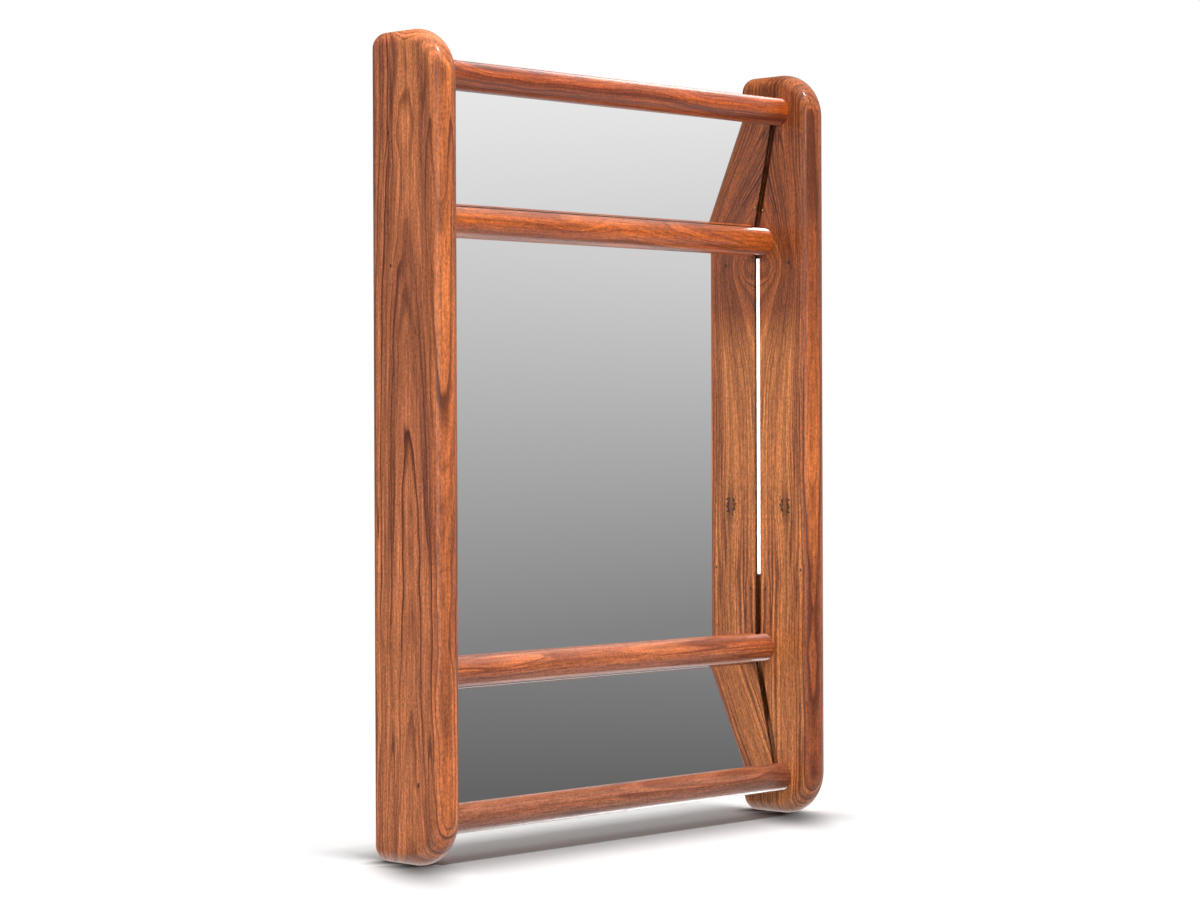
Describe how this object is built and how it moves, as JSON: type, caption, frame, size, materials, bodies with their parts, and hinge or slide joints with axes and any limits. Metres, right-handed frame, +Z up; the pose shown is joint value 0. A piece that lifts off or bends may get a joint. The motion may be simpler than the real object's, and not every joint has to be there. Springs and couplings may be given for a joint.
{
  "type": "shutter mirror",
  "caption": "Wall mirror of folded panes between two round-edged walnut side boards joined by round rails, with a hanging cleat behind.",
  "frame": {"origin": "on the surface the side boards stand on, under the middle of the mirror's box", "axes": "+X to the right seen from the front, +Y to the back (the mirror faces -Y), +Z up"},
  "size_m": [0.6196, 0.11, 0.864],
  "materials": {
    "board_wood": "oiled reddish walnut, satin",
    "rail_wood": "oiled reddish walnut, satin, grain along the rail",
    "dowel_wood": "plain beech",
    "mirror_glass": "silvered float glass, seamed edges",
    "backing_board": "brown hardboard",
    "bead_wood": "sawn walnut, oiled",
    "screw_steel": "zinc plated",
    "pale_felt": "off-white felt",
    "pin_brass": "polished brass"
  },
  "bodies": {
    "root": {"left_side_board": "board_wood", "right_side_board": "board_wood", "top_rail": "rail_wood", "upper_rail": "rail_wood", "lower_rail": "rail_wood", "bottom_rail": "rail_wood", "top_rail_left_dowel": "dowel_wood", "top_rail_right_dowel": "dowel_wood", "upper_rail_left_dowel": "dowel_wood", "upper_rail_right_dowel": "dowel_wood", "lower_rail_left_dowel": "dowel_wood", "lower_rail_right_dowel": "dowel_wood", "bottom_rail_left_dowel": "dowel_wood", "bottom_rail_right_dowel": "dowel_wood", "top_mirror": "mirror_glass", "middle_mirror": "mirror_glass", "bottom_mirror": "mirror_glass", "top_backing": "backing_board", "middle_backing": "backing_board", "bottom_backing": "backing_board", "top_left_bead": "bead_wood", "top_right_bead": "bead_wood", "middle_upper_left_bead": "bead_wood", "middle_upper_right_bead": "bead_wood", "middle_lower_left_bead": "bead_wood", "middle_lower_right_bead": "bead_wood", "bottom_left_bead": "bead_wood", "bottom_right_bead": "bead_wood", "top_left_screw_1": "screw_steel", "top_left_screw_2": "screw_steel", "top_right_screw_1": "screw_steel", "top_right_screw_2": "screw_steel", "middle_upper_left_screw_1": "screw_steel", "middle_upper_right_screw_1": "screw_steel", "middle_lower_left_screw_1": "screw_steel", "middle_lower_left_screw_2": "screw_steel", "middle_lower_right_screw_1": "screw_steel", "middle_lower_right_screw_2": "screw_steel", "bottom_left_screw_1": "screw_steel", "bottom_left_screw_2": "screw_steel", "bottom_right_screw_1": "screw_steel", "bottom_right_screw_2": "screw_steel", "left_felt_strip": "pale_felt", "right_felt_strip": "pale_felt", "left_brass_pin": "pin_brass", "right_brass_pin": "pin_brass", "hanging_cleat": "bead_wood", "cleat_left_screw_1": "screw_steel", "cleat_left_screw_2": "screw_steel", "cleat_right_screw_1": "screw_steel", "cleat_right_screw_2": "screw_steel"}
  },
  "joints": []
}
